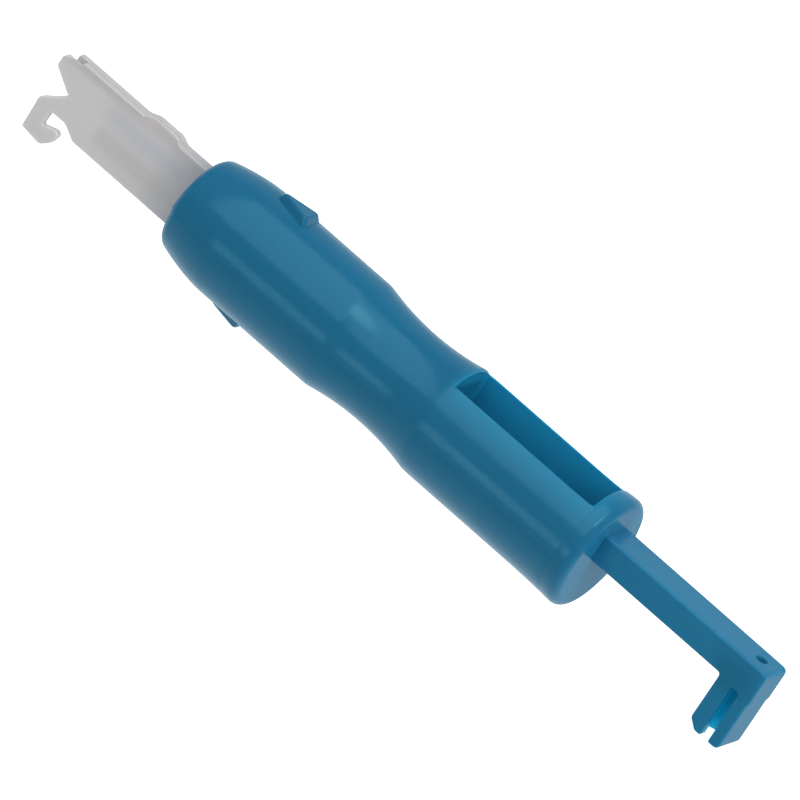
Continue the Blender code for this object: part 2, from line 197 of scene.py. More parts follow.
def round_edges(target, width, segments=4, angle=35, by_weight=False, clamp=True):
    """Rounds edges sharper than the angle, or only those with a bevel weight."""
    modifier = target.modifiers.new("round_edges", "BEVEL")
    modifier.use_clamp_overlap = clamp
    modifier.width = width * MM
    modifier.segments = segments
    modifier.limit_method = "WEIGHT" if by_weight else "ANGLE"
    modifier.angle_limit = math.radians(angle)
    modifier.miter_outer = "MITER_ARC"


def apply_shape(item, cutters=(), smooth_angle=32):
    """Applies the modifiers, removes the cutters and shades round faces smooth."""
    graph = bpy.context.evaluated_depsgraph_get()
    mesh = bpy.data.meshes.new_from_object(item.evaluated_get(graph))
    item.modifiers.clear()
    item.data = mesh
    mesh.name = item.name
    for cutter in cutters:
        bpy.data.objects.remove(cutter, do_unlink=True)
    mesh.shade_smooth()
    mesh.set_sharp_from_angle(angle=math.radians(smooth_angle))
    weighted = item.modifiers.new("weighted_normals", "WEIGHTED_NORMAL")
    weighted.keep_sharp = True
    weighted.weight = 80


def dress(item, body, material, slot, *nodes):
    """Gives a piece its material, the body it moves with and the nodes it stands for."""
    item.data.materials.clear()
    item.data.materials.append(material)
    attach(item, body)
    if nodes:
        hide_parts(*nodes)


def box(low, high):
    bm = bmesh.new()
    bmesh.ops.create_cube(bm, size=1.0)
    bmesh.ops.scale(bm, vec=Vector(high) - Vector(low), verts=bm.verts)
    bmesh.ops.translate(bm, vec=(Vector(low) + Vector(high)) / 2, verts=bm.verts)
    return bm


def skin(bm, rings):
    """Joins rings of points, one after the other, into a solid with flat ends."""
    for one, next_one in zip(rings, rings[1:]):
        for step in range(len(one)):
            following = (step + 1) % len(one)
            bm.faces.new((one[step], one[following], next_one[following], next_one[step]))
    bm.faces.new(rings[0])
    bm.faces.new(rings[-1])


def turned(profile, steps=96):
    """A solid turned about the X axis from (x, radius) points, front to rear."""
    bm = bmesh.new()
    rings = []
    for x, radius in profile:
        ring = []
        for step in range(steps):
            turn = 2 * math.pi * step / steps
            ring.append(bm.verts.new((x, radius * math.cos(turn), radius * math.sin(turn))))
        rings.append(ring)
    skin(bm, rings)
    return bm


def cylinder(front, rear, radius, steps=64):
    return turned([(front, radius), (rear, radius)], steps)


def prism(outline, axis, low, high):
    """A solid with a flat outline, standing between two planes across the given axis.

    The outline's points are (y, z) for axis 0, (x, z) for axis 1 and (x, y) for axis 2.
    """
    bm = bmesh.new()
    ends = []
    for place in (low, high):
        end = []
        for point in outline:
            corner = list(point)
            corner.insert(axis, place)
            end.append(bm.verts.new(corner))
        ends.append(end)
    skin(bm, ends)
    return bm


def rounded(corners, steps=5):
    """Outline points from (x, z, radius) corners: each corner becomes a short curve."""
    points = []
    count = len(corners)
    for index, (x, z, radius) in enumerate(corners):
        corner = Vector((x, z))
        if radius == 0:
            points.append(corner)
            continue
        to_last = Vector(corners[index - 1][:2]) - corner
        to_next = Vector(corners[(index + 1) % count][:2]) - corner
        reach = radius / math.tan(to_last.angle(to_next) / 2)
        reach = min(reach, 0.45 * to_last.length, 0.45 * to_next.length)
        start = corner + to_last.normalized() * reach
        end = corner + to_next.normalized() * reach
        for step in range(steps + 1):
            share = step / steps
            bend = start * (1 - share) ** 2 + corner * 2 * share * (1 - share) + end * share ** 2
            points.append(bend)
    return [tuple(point) for point in points]


# ---------------------------------------------------------------- materials

class Nodes:
    """A short way to add nodes and links to one material."""

    def __init__(self, name):
        self.material = bpy.data.materials.new(name)
        self.material.use_nodes = True
        self.tree = self.material.node_tree
        self.shader = self.tree.nodes["Principled BSDF"]
        self.place = self.add("ShaderNodeTexCoord").outputs["Object"]

    def add(self, kind, **settings):
        node = self.tree.nodes.new(kind)
        for key, value in settings.items():
            setattr(node, key, value)
        return node

    def link(self, source, target):
        self.tree.links.new(source, target)

    def noise(self, per_mm, detail=3.0, stretch=(1.0, 1.0, 1.0), roughness=0.5):
        """Noise with about per_mm cells in a millimetre, stretched along an axis."""
        mapping = self.add("ShaderNodeMapping")
        mapping.inputs["Scale"].default_value = stretch
        self.link(self.place, mapping.inputs["Vector"])
        node = self.add("ShaderNodeTexNoise")
        node.inputs["Scale"].default_value = per_mm / MM
        node.inputs["Detail"].default_value = detail
        node.inputs["Roughness"].default_value = roughness
        self.link(mapping.outputs["Vector"], node.inputs["Vector"])
        return node.outputs["Fac"]

    def ramp(self, source, low, high, start=0.3, end=0.7):
        """Maps a 0..1 source to a range of numbers."""
        node = self.add("ShaderNodeMapRange")
        node.inputs["From Min"].default_value = start
        node.inputs["From Max"].default_value = end
        node.inputs["To Min"].default_value = low
        node.inputs["To Max"].default_value = high
        self.link(source, node.inputs["Value"])
        return node.outputs["Result"]

    def mix(self, source, first, second):
        """Mixes two colours, each a constant or a node's result, by a 0..1 source."""
        node = self.add("ShaderNodeMix", data_type="RGBA")
        for colour, target in ((first, node.inputs[6]), (second, node.inputs[7])):
            if isinstance(colour, tuple):
                target.default_value = (*colour, 1.0)
            else:
                self.link(colour, target)
        self.link(source, node.inputs["Factor"])
        return node.outputs["Result"]

    def within(self, low, high, softness):
        """1 inside a box given in millimetres from the rim, 0 outside, soft between."""
        split = self.add("ShaderNodeSeparateXYZ")
        self.link(self.place, split.inputs["Vector"])
        inside = None
        for axis in range(3):
            middle = RIM[axis] + (low[axis] + high[axis]) / 2 * MM
            half = (high[axis] - low[axis]) / 2 * MM
            offset = self.add("ShaderNodeMath", operation="SUBTRACT")
            offset.inputs[1].default_value = middle
            self.link(split.outputs[axis], offset.inputs[0])
            away = self.add("ShaderNodeMath", operation="ABSOLUTE")
            self.link(offset.outputs["Value"], away.inputs[0])
            share = self.ramp(away.outputs["Value"], 1.0, 0.0, half - softness * MM, half + softness * MM)
            if inside is None:
                inside = share
            else:
                both = self.add("ShaderNodeMath", operation="MULTIPLY")
                self.link(inside, both.inputs[0])
                self.link(share, both.inputs[1])
                inside = both.outputs["Value"]
        return inside

    def bump(self, height, distance, strength, under=None):
        """A bump of the given depth in millimetres, on top of another bump if given."""
        node = self.add("ShaderNodeBump")
        node.inputs["Distance"].default_value = distance * MM
        node.inputs["Strength"].default_value = strength
        self.link(height, node.inputs["Height"])
        if under:
            self.link(under, node.inputs["Normal"])
        return node.outputs["Normal"]


def blue_painted_light_and_shade(nodes):
    """(mask, colour) pairs of the blue plastic, the later ones over the earlier ones.

    Light coming through thin sections is painted into the colour: the arm, the
    window's walls and inside, the far wall most of all, and the needle's room are
    painted lighter than the rest; the thick elbow of the arm and the window's front
    wall get painted shade.
    """
    wide = 2 * HANDLE_RADIUS
    half = WINDOW_HALF_WIDTH
    room = NEEDLE_ROOM_RADIUS + 0.1
    arm = nodes.within((DISC_REAR - 0.1, -wide, -wide), (ARM_END + 1.0, wide, wide), 0.1)
    elbow = nodes.within((ARM_END - 5.5, -wide, -1.6), (ARM_END - 0.8, -1.0, 2.6), 1.2)
    thin_walls = nodes.within((WINDOW_START, -wide, 4.6), (HANDLE_END + 1.0, wide, wide), 1.2)
    window = nodes.within(
        (WINDOW_START - 0.1, -half - 0.05, WINDOW_FLOOR - 0.5),
        (HANDLE_END - 0.1, half + 0.05, HANDLE_RADIUS),
        0.05,
    )
    front_wall = nodes.within(
        (WINDOW_START - 0.4, 0.4 - half, WINDOW_FLOOR),
        (WINDOW_START + 0.4, half - 0.4, 5.0),
        0.3,
    )
    far_wall = nodes.within(
        (WINDOW_START - 2.0, half - 0.4, 3.4),
        (HANDLE_END + 2.0, half + 0.4, HANDLE_RADIUS),
        1.4,
    )
    needle_room = nodes.within(
        (NEEDLE_X - room, 0.6 - ARM_HALF_WIDTH, LEG_TIP - 1.0),
        (NEEDLE_X + room, ARM_HALF_WIDTH - 0.5, NEEDLE_ROOM_TOP + 0.1),
        0.3,
    )
    # Painted light: arm, thin_walls, window, far_wall, needle_room; painted shade: elbow, front_wall.
    return (
        (arm, (0.018, 0.205, 0.385)),
        (elbow, (0.014, 0.165, 0.315)),
        (thin_walls, (0.02, 0.235, 0.42)),
        (window, (0.015, 0.26, 0.47)),
        (front_wall, (0.01, 0.16, 0.3)),
        (far_wall, (0.022, 0.4, 0.68)),
        (needle_room, (0.02, 0.7, 0.95)),
    )


def blue_plastic():
    """Glossy injection-moulded plastic: faint pigment clouds, flow lines, fine scuffs."""
    nodes = Nodes("blue_plastic")
    clouds = nodes.ramp(nodes.noise(0.12, 4.0, (0.5, 1.0, 1.0)), 0.0, 1.0)
    colour = nodes.mix(clouds, (0.0145, 0.157, 0.3), (0.017, 0.17, 0.322))
    # Painted light and shade laid over the plastic's own pigment clouds.
    for mask, colour_there in blue_painted_light_and_shade(nodes):
        colour = nodes.mix(mask, colour, colour_there)
    nodes.link(colour, nodes.shader.inputs["Base Color"])
    scuffs = nodes.noise(1.1, 6.0, (0.25, 1.0, 1.0), 0.65)
    nodes.link(nodes.ramp(scuffs, 0.13, 0.22), nodes.shader.inputs["Roughness"])
    waviness = nodes.bump(nodes.noise(0.25, 2.0, (0.4, 1.0, 1.0)), 0.02, 0.25)
    grain = nodes.bump(nodes.noise(7.0, 3.0), 0.003, 0.35, waviness)
    nodes.link(grain, nodes.shader.inputs["Normal"])
    nodes.shader.inputs["IOR"].default_value = 1.47
    nodes.shader.inputs["Specular Tint"].default_value = (0.33, 0.82, 0.9, 1.0)
    nodes.shader.inputs["Subsurface Weight"].default_value = 0.35
    nodes.shader.inputs["Subsurface Radius"].default_value = (0.25, 0.8, 1.0)
    nodes.shader.inputs["Subsurface Scale"].default_value = 0.8 * MM
    return nodes.material


def milky_zones(nodes):
    """(mask, colour) pairs of the milky plastic, the later ones over the earlier ones.

    What lies between the two plates is painted onto them as it would show through:
    painted shade where the steel strip's channel lies and painted bluish light where
    the blue blade lies.  The top edges are a little darker, and the stretch next to
    the rim is painted in shade, as the handle's dark inside would show through there.
    """
    wide = 2 * PLATE_THICKNESS
    far = 2 * PLATE_HALF_HEIGHT
    strip = nodes.within((-12.5, -wide, STRIP_LOW - 0.2), (TAIL_END, wide, -0.2), 0.4)
    blade = nodes.within((BLADE_FRONT - 1.0, -wide, 0.5), (TAIL_END, wide, BLADE_HIGH), 0.8)
    top_edge = nodes.within((TIP_FRONT - 2.0, -wide, 3.1), (TAIL_END, wide, far), 0.5)
    near_rim = nodes.within((-3.0, -2 * wide, -far), (TAIL_END, 2 * wide, far), 2.5)
    # Painted shade: strip and near_rim; painted bluish light: blade; top_edge is simply a little darker.
    return (
        (strip, (0.748, 0.72, 0.712)),
        (blade, (0.727, 0.718, 0.757)),
        (top_edge, (0.672, 0.645, 0.638)),
        (near_rim, (0.58, 0.572, 0.597)),
    )


def milky_plastic():
    """Translucent natural plastic, clouded and satin."""
    nodes = Nodes("milky_plastic")
    clouds = nodes.ramp(nodes.noise(0.2, 4.0, (0.6, 1.0, 1.0)), 0.0, 1.0)
    colour = nodes.mix(clouds, (0.803, 0.777, 0.769), (0.828, 0.802, 0.794))
    # Painted shade and light of what lies behind the plates, over the plastic's clouds.
    for mask, colour_there in milky_zones(nodes):
        colour = nodes.mix(mask, colour, colour_there)
    nodes.link(colour, nodes.shader.inputs["Base Color"])
    scuffs = nodes.noise(1.4, 6.0, (0.3, 1.0, 1.0), 0.6)
    nodes.link(nodes.ramp(scuffs, 0.3, 0.42), nodes.shader.inputs["Roughness"])
    waviness = nodes.bump(nodes.noise(0.35, 2.0, (0.4, 1.0, 1.0)), 0.02, 0.25)
    grain = nodes.bump(nodes.noise(6.0, 3.0), 0.004, 0.4, waviness)
    nodes.link(grain, nodes.shader.inputs["Normal"])
    nodes.shader.inputs["IOR"].default_value = 1.49
    nodes.shader.inputs["Subsurface Weight"].default_value = 1.0
    nodes.shader.inputs["Subsurface Radius"].default_value = (1.0, 1.0, 1.05)
    nodes.shader.inputs["Subsurface Scale"].default_value = 0.4 * MM
    nodes.shader.inputs["Transmission Weight"].default_value = 0.05
    return nodes.material


def spring_steel():
    """Drawn steel wire: bright metal with fine lines along its length."""
    nodes = Nodes("spring_steel")
    lines = nodes.noise(6.0, 4.0, (0.08, 1.0, 1.0), 0.6)
    colour = nodes.mix(nodes.ramp(lines, 0.0, 1.0), (0.46, 0.46, 0.47), (0.62, 0.62, 0.63))
    nodes.link(colour, nodes.shader.inputs["Base Color"])
    nodes.link(nodes.ramp(lines, 0.22, 0.42), nodes.shader.inputs["Roughness"])
    nodes.link(nodes.bump(lines, 0.004, 0.4), nodes.shader.inputs["Normal"])
    nodes.shader.inputs["Metallic"].default_value = 1.0
    return nodes.material


# ---------------------------------------------------------------- handle shells

def waist_drop(x):
    """How far the waist lies below the straight handle: a hollow arc with soft ends."""
    half_length = (WAIST_END - WAIST_START) / 2
    both_radii = (half_length ** 2 + WAIST_DEPTH ** 2) / (2 * WAIST_DEPTH)
    hollow_radius = both_radii - WAIST_SOFTNESS
    from_middle = abs(x - (WAIST_START + WAIST_END) / 2)
    from_end = half_length - from_middle
    if from_end <= 0:
        return 0.0
    if from_end < WAIST_SOFTNESS * half_length / both_radii:
        return WAIST_SOFTNESS - math.sqrt(WAIST_SOFTNESS ** 2 - from_end ** 2)
    return WAIST_DEPTH - hollow_radius + math.sqrt(hollow_radius ** 2 - from_middle ** 2)


def flare(x):
    """How far the rear end's surface rises above the straight handle."""
    share = max(0.0, (x - FLARE_START) / (HANDLE_END - FLARE_START))
    return FLARE_RISE * share ** 2


def handle_profile():
    """Outer (x, radius) points: rolled rim, domed nose, straight, waist, flared end."""
    points = []
    rim_steps = 12
    for step in range(rim_steps + 1):
        turn = RIM_ARC_SWEEP * step / rim_steps
        points.append((RIM_ARC_LENGTH * (1 - math.cos(turn)), RIM_RADIUS + RIM_ARC_RISE * math.sin(turn)))
    dome_start, dome_radius = points[-1]
    dome_steps = 16
    for step in range(1, dome_steps + 1):
        share = step / dome_steps
        x = dome_start + (DOME_END - dome_start) * share
        points.append((x, HANDLE_RADIUS - (HANDLE_RADIUS - dome_radius) * (1 - share) ** DOME_POWER))
    stretches = (
        (DOME_END, WAIST_START, 7),
        (WAIST_START, WINDOW_START, 52),
        (WINDOW_START, HANDLE_END, 24),
    )
    for start, end, steps in stretches:
        for step in range(1, steps + 1):
            x = start + (end - start) * step / steps
            points.append((x, HANDLE_RADIUS - waist_drop(x) + flare(x)))
    end_radius = points[-1][1] - JOINT_DEPTH
    inside_disc = DISC_FRONT + 0.4
    points.append((DISC_FRONT, end_radius))
    points.append((inside_disc, end_radius))
    return points


def half_turn_angles(side):
    """Angles from one seam to the other, with lines on the window's two long edges."""
    window_angle = math.acos(WINDOW_HALF_WIDTH / HANDLE_RADIUS)
    stops = (0.0, window_angle, math.pi - window_angle, math.pi)
    counts = (16, 22, 16)
    angles = []
    for start, end, count in zip(stops, stops[1:], counts):
        angles += [start + (end - start) * step / count for step in range(count)]
    angles.append(math.pi)
    first_window_line = counts[0]
    last_window_line = counts[0] + counts[1]
    return [side * angle for angle in angles], first_window_line, last_window_line


def shell_solid(side):
    """Half of the handle as a closed solid; the upper half is open at the window.

    Rings of points follow the outer profile from seam to seam.  In the window the
    ring's middle is left out, and walls go down from its edges to the seam plane.  The
    lower half's rim stands back a little, which shows as a step at the seam.
    """
    window_edge_share = 1.0
    seam_edge_share = 0.2
    bm = bmesh.new()
    weight = bm.edges.layers.float.new("bevel_weight_edge")
    angles, first, last = half_turn_angles(side)
    profile = handle_profile()
    window_ring = next(i for i, (x, _) in enumerate(profile) if abs(x - WINDOW_START) < 1e-6)

    rings = []
    for x, radius in profile:
        if side < 0 and x < DOME_END:
            x += RIM_STEP * (1 - x / DOME_END)
        ring = []
        for angle in angles:
            ring.append(bm.verts.new((x, radius * math.cos(angle), radius * math.sin(angle))))
        rings.append(ring)
    end = len(rings) - 1

    def is_open(ring, line):
        return side > 0 and ring >= window_ring and first <= line < last

    for ring in range(end):
        for line in range(len(angles) - 1):
            if not is_open(ring, line):
                bm.faces.new((
                    rings[ring][line],
                    rings[ring][line + 1],
                    rings[ring + 1][line + 1],
                    rings[ring + 1][line],
                ))

    right_seam = [ring[0] for ring in rings]
    left_seam = [ring[-1] for ring in rings]
    bm.faces.new(rings[0])
    if side > 0:
        rim = [rings[i][first] for i in range(end, window_ring, -1)]
        rim += [rings[window_ring][j] for j in range(first, last)]
        rim += [rings[i][last] for i in range(window_ring, end + 1)]
        foot = [bm.verts.new((v.co.x, v.co.y, 0.0)) for v in rim]
        for index in range(len(rim) - 1):
            bm.faces.new((rim[index], rim[index + 1], foot[index + 1], foot[index]))
            bm.edges.get((rim[index], rim[index + 1]))[weight] = window_edge_share
        bm.faces.new([rings[end][j] for j in range(first + 1)] + [foot[0]])
        bm.faces.new([rings[end][j] for j in range(last, len(angles))] + [foot[-1]])
        bm.faces.new(right_seam + foot + left_seam[::-1])
    else:
        bm.faces.new(rings[end])
        bm.faces.new(right_seam + left_seam[::-1])
        for line in (right_seam, left_seam):
            for one, two in zip(line, line[1:]):
                bm.edges.get((one, two))[weight] = seam_edge_share
    return bm


def shell_cutters(side):
    """What is cut out of a shell: the bore, the tip's slot and the pocket's floor."""
    slot_half_width = PLATE_THICKNESS + PLATE_GAP / 2 + SLOT_CLEARANCE
    slot_half_height = PLATE_HALF_HEIGHT + SLOT_CLEARANCE
    slot_low = (-1.0, -slot_half_width, -slot_half_height)
    slot_high = (BORE_START + 1.0, slot_half_width, slot_half_height)
    cutters = [
        settled_object("bore_cutter", cylinder(BORE_START, BORE_END, BORE_RADIUS)),
        settled_object("slot_cutter", box(slot_low, slot_high)),
    ]
    if side < 0:
        pocket_low = (WINDOW_START, -WINDOW_HALF_WIDTH, WINDOW_FLOOR)
        pocket_high = (HANDLE_END + 1.0, WINDOW_HALF_WIDTH, 1.0)
        cutters.append(settled_object("pocket_cutter", box(pocket_low, pocket_high)))
    return cutters


def handle_shell(name, side, material, node):
    """One half of the handle; side is 1 for the upper half, -1 for the lower half."""
    shell = settled_object(name, shell_solid(side))
    round_edges(shell, WINDOW_EDGE, 4, by_weight=True)
    cutters = shell_cutters(side)
    for cutter in cutters:
        shape_with(shell, cutter)
    apply_shape(shell, cutters)
    dress(shell, "handle", material, "blue_plastic", node)


def direction_mark(name, side, material):
    """A raised wedge with soft edges that points to the threader end."""
    bm = bmesh.new()
    base = HANDLE_RADIUS - 0.9
    layers = []
    for z, draft in ((base, 1.8 * MARK_DRAFT), (MARK_TOP, 0.0)):
        front_half = MARK_FRONT_WIDTH / 2 + draft / 2
        rear_half = MARK_REAR_WIDTH / 2 + draft
        outline = rounded(
            (
                (MARK_FRONT - draft, -front_half, 0.3),
                (MARK_REAR + draft, -rear_half, 0.45),
                (MARK_REAR + draft, rear_half, 0.45),
                (MARK_FRONT - draft, front_half, 0.3),
            ),
        )
        layers.append([bm.verts.new((x, y, side * z)) for x, y in outline])
    skin(bm, layers)
    mark = settled_object(name, bm)
    round_edges(mark, 0.3, 5, 50)
    apply_shape(mark)
    dress(mark, "handle", material, "blue_plastic")


# ---------------------------------------------------------------- inserter end

def disc_profile():
    """The end disc carries on the handle's flare and turns into its rear face."""
    front_radius = HANDLE_RADIUS + FLARE_RISE
    rear_edge = 1.0
    points = [
        (HANDLE_END - 0.2, front_radius - 3 * JOINT_DEPTH),
        (HANDLE_END, front_radius - JOINT_DEPTH),
        (DISC_FRONT, front_radius),
    ]
    swell_steps = 6
    for step in range(1, swell_steps + 1):
        share = step / swell_steps
        x = DISC_FRONT + (DISC_REAR - rear_edge - DISC_FRONT) * share
        points.append((x, front_radius + (DISC_RADIUS - front_radius) * math.sin(math.pi / 2 * share)))
    edge_steps = 8
    for step in range(1, edge_steps + 1):
        turn = math.pi / 2 * step / edge_steps
        x = DISC_REAR - rear_edge * (1 - math.sin(turn))
        points.append((x, DISC_RADIUS - rear_edge * (1 - math.cos(turn))))
    return points


def window_end():
    """Fills the open end of the window, with rounded corners down its rear wall."""
    depth = 1.3
    corner = 1.0
    hidden = 0.02
    half = WINDOW_HALF_WIDTH + hidden
    wall = cylinder(HANDLE_END - depth, DISC_FRONT + 1.0, HANDLE_RADIUS - 0.05, 96)
    outline = rounded((
        (WINDOW_START, -half, 0.0),
        (HANDLE_END, -half, corner),
        (HANDLE_END, half, corner),
        (WINDOW_START, half, 0.0),
    ))
    wall_object = settled_object("window_wall", wall)
    pocket = prism(outline, 2, WINDOW_FLOOR - hidden, 2 * HANDLE_RADIUS)
    pocket_object = settled_object("window_pocket", pocket)
    shape_with(wall_object, pocket_object)
    round_edges(wall_object, 0.15, 3, 50)
    return wall_object, pocket_object


def arm_and_leg_outline():
    """The arm and its leg in side view; the leg stands back a little and has a cut toe."""
    inside_disc = DISC_REAR - 1.0
    leg_front = ARM_END - LEG_THICKNESS
    leg_rear = ARM_END - 0.12
    toe_length = 1.1
    toe_height = 0.95
    return rounded((
        (inside_disc, 0.0, 0.0),
        (leg_front, 0.0, 0.4),
        (leg_front, LEG_TIP + toe_height, 0.6),
        (leg_front + toe_length, LEG_TIP, 0.6),
        (leg_rear, LEG_TIP, 0.7),
        (leg_rear, -0.9, 0.0),
        (ARM_END, -0.5, 0.0),
        (ARM_END, ARM_TOP, 0.7),
        (inside_disc, ARM_TOP, 0.0),
    ))


def upright(radius, low, high, steps=48):
    """A cylinder on the needle's line."""
    bm = bmesh.new()
    bmesh.ops.create_cone(
        bm,
        cap_ends=True,
        segments=steps,
        radius1=radius,
        radius2=radius,
        depth=high - low,
    )
    bmesh.ops.translate(bm, vec=(NEEDLE_X, 0.0, (low + high) / 2), verts=bm.verts)
    return bm


def inserter_end(material):
    """The disc, the arm and the leg, with the needle's hole, its room and the slot."""
    outer_round = 0.55
    slot_round = 0.18
    arm_solid = prism(arm_and_leg_outline(), 1, -ARM_HALF_WIDTH, ARM_HALF_WIDTH)
    body = settled_object("inserter_body", arm_solid)
    round_edges(body, outer_round, 6)
    slot = box((SLOT_FRONT, -2 * ARM_HALF_WIDTH, 2 * LEG_TIP), (SLOT_REAR, 0.0, SLOT_TOP))
    cutters = [
        settled_object("needle_room_cutter", upright(NEEDLE_ROOM_RADIUS, 2 * LEG_TIP, NEEDLE_ROOM_TOP)),
        settled_object("needle_slot_cutter", slot),
        settled_object("needle_hole_cutter", upright(NEEDLE_HOLE_RADIUS, -ARM_TOP, 2 * ARM_TOP)),
    ]
    for cutter in cutters:
        shape_with(body, cutter)
    round_edges(body, slot_round, 3, 50, clamp=False)
    disc = settled_object("end_disc", turned(disc_profile()))
    wall, pocket = window_end()
    for piece in (disc, wall):
        shape_with(body, piece, "UNION")
    apply_shape(body, [*cutters, disc, wall, pocket])
    dress(body, "handle", material, "blue_plastic", "inserter_end")


# ---------------------------------------------------------------- threader tip

def ear_top():
    """Corners of the stop ear, a low hump on both plates' top edges, rear to front."""
    return (
        (EAR_REAR + EAR_REAR_RAMP, PLATE_HALF_HEIGHT, 1.5),
        (EAR_REAR, EAR_TOP, 1.5),
        (EAR_FRONT, EAR_TOP, 1.5),
        (EAR_FRONT - EAR_RAMP, PLATE_HALF_HEIGHT, 1.5),
    )


def hook_plate_outline():
    """Upper jaw, V mouth, lower jaw and thread hook, then the straight tail."""
    top = PLATE_HALF_HEIGHT
    return rounded((
        (TAIL_END, top, 0.0),
        *ear_top(),
        (-17.6, top, 1.0),
        (-20.0, 3.2, 0.35),
        (TIP_FRONT, 2.9, 0.3),
        (TIP_FRONT, 1.7, 0.3),
        (-17.65, 0.0, 0.5),
        (MOUTH_END, PIN_HEIGHT, 0.1),
        (-18.3, -1.1, 1.0),
        (-20.0, -2.36, 0.3),
        (-19.85, -6.2, 0.3),
        (-17.15, HOOK_BOTTOM, 0.6),
        (-16.2, -5.65, 0.8),
        (-15.9, -4.45, 0.35),
        (-16.45, -4.15, 0.4),
        (-18.1, -4.65, 0.15),
        (-18.05, -2.8, 0.12),
        (-15.95, -2.8, 1.0),
        (-14.25, -top, 1.0),
        (TAIL_END, -top, 0.0),
    ))


def guide_plate_outline():
    """The plate behind: the same V mouth with shorter jaws and no hook."""
    top = PLATE_HALF_HEIGHT
    return rounded((
        (TAIL_END, top, 0.0),
        *ear_top(),
        (-19.1, top, 0.2),
        (-19.25, 1.0, 0.5),
        (-17.2, PIN_HEIGHT, 0.15),
        (-18.95, -1.85, 0.3),
        (-18.5, -2.6, 0.3),
        (-15.95, -2.8, 1.0),
        (-14.25, -top, 1.0),
        (TAIL_END, -top, 0.0),
    ))


def hook_plate_slopes():
    """Solids that cut the hook plate's top: its jaw slopes inwards, its ear outwards."""
    jaw = ((-2.0, 4.07), (0.5, 2.9), (0.5, 6.0), (-2.0, 6.0))
    ear = ((-1.2, 2.4), (-0.55, EAR_TOP + 0.2), (-0.55, 6.0), (-1.2, 6.0))
    return [
        settled_object("jaw_slope", prism(jaw, 0, TIP_FRONT - 1.0, -17.9)),
        settled_object("ear_slope", prism(ear, 0, EAR_FRONT - 1.0, EAR_REAR + 0.5)),
    ]


def channel_rooms():
    """(x, z) corners of the rooms between the plates: blade, strip and pin."""
    stroke_room = 4.8
    behind = COLLAR_REAR + 1.0
    pin_half = 0.3
    return [
        ((BLADE_FRONT - stroke_room, BLADE_LOW - 0.35), (behind, BLADE_HIGH + 0.2)),
        ((NECK_FRONT - stroke_room, STRIP_LOW - 0.2), (behind + 0.5, BLADE_LOW + 0.3)),
        ((TIP_FRONT - 0.5, PIN_HEIGHT - pin_half), (NECK_FRONT - stroke_room + 1.0, PIN_HEIGHT + pin_half)),
    ]


def tip_plate(name, side, outline, material, node):
    """One plate of the tip; side is -1 for the hook plate, +1 for the guide plate."""
    inner = side * PLATE_GAP / 2
    outer = side * (PLATE_GAP / 2 + PLATE_THICKNESS)
    past_inner = -side * PLATE_THICKNESS / 2
    body = settled_object(name, prism(outline, 1, min(past_inner, outer), max(past_inner, outer)))
    slopes = hook_plate_slopes() if side < 0 else []
    for slope in slopes:
        shape_with(body, slope)
    round_edges(body, 0.14, 3)

    collar = settled_object(f"{name}_collar", cylinder(COLLAR_FRONT, COLLAR_REAR, COLLAR_RADIUS))
    round_edges(collar, 0.15, 2)
    shape_with(body, collar, "UNION")

    reach = 2 * abs(TIP_FRONT)
    other_side = box(
        (-reach, min(inner, -side * reach), -reach),
        (reach, max(inner, -side * reach), reach),
    )
    cutters = [settled_object(f"{name}_other_side", other_side)]
    for number, (low, high) in enumerate(channel_rooms(), start=1):
        room = box((low[0], -CHANNEL_DEPTH, low[1]), (high[0], CHANNEL_DEPTH, high[1]))
        cutters.append(settled_object(f"{name}_room_{number}", room))
    for cutter in cutters:
        shape_with(body, cutter)
    apply_shape(body, [*slopes, collar, *cutters])
    dress(body, "tip", material, "milky_plastic", node)


# ---------------------------------------------------------------- carrier, pin, spring

def pin_carrier(material):
    """The fixed core: a foot, a rod, a head that holds the pin's strip, and the blade."""
    foot = settled_object("carrier", cylinder(CARRIER_FOOT_FRONT, CARRIER_FOOT_REAR, CARRIER_FOOT_RADIUS))
    half = BLADE_THICKNESS / 2
    slit_half = STRIP_THICKNESS / 2 + 0.1
    blade_outline = rounded((
        (BLADE_FRONT, BLADE_LOW, 0.3),
        (HEAD_FRONT + 1.0, BLADE_LOW, 0.0),
        (HEAD_FRONT + 1.0, BLADE_HIGH, 0.0),
        (BLADE_FRONT, BLADE_HIGH, 1.2),
    ))
    solids = [
        ("rod", cylinder(HEAD_REAR - 1.0, CARRIER_FOOT_REAR - 1.0, CARRIER_ROD_RADIUS), "UNION"),
        ("head", box((HEAD_FRONT, -1.0, STRIP_LOW - 0.3), (HEAD_REAR, 1.0, BLADE_HIGH)), "UNION"),
        ("blade", prism(blade_outline, 1, -half, half), "UNION"),
        (
            "slit",
            box(
                (HEAD_FRONT - 1.0, -slit_half, STRIP_LOW - 0.1),
                (STRIP_REAR + 0.2, slit_half, STRIP_HIGH + 0.1),
            ),
            "DIFFERENCE",
        ),
    ]
    tools = [(settled_object(f"carrier_{name}", solid), operation) for name, solid, operation in solids]
    for tool, operation in tools:
        shape_with(foot, tool, operation)
    round_edges(foot, 0.08, 2)
    apply_shape(foot, [tool for tool, _ in tools])
    dress(foot, "handle", material, "blue_plastic", "pin_carrier")


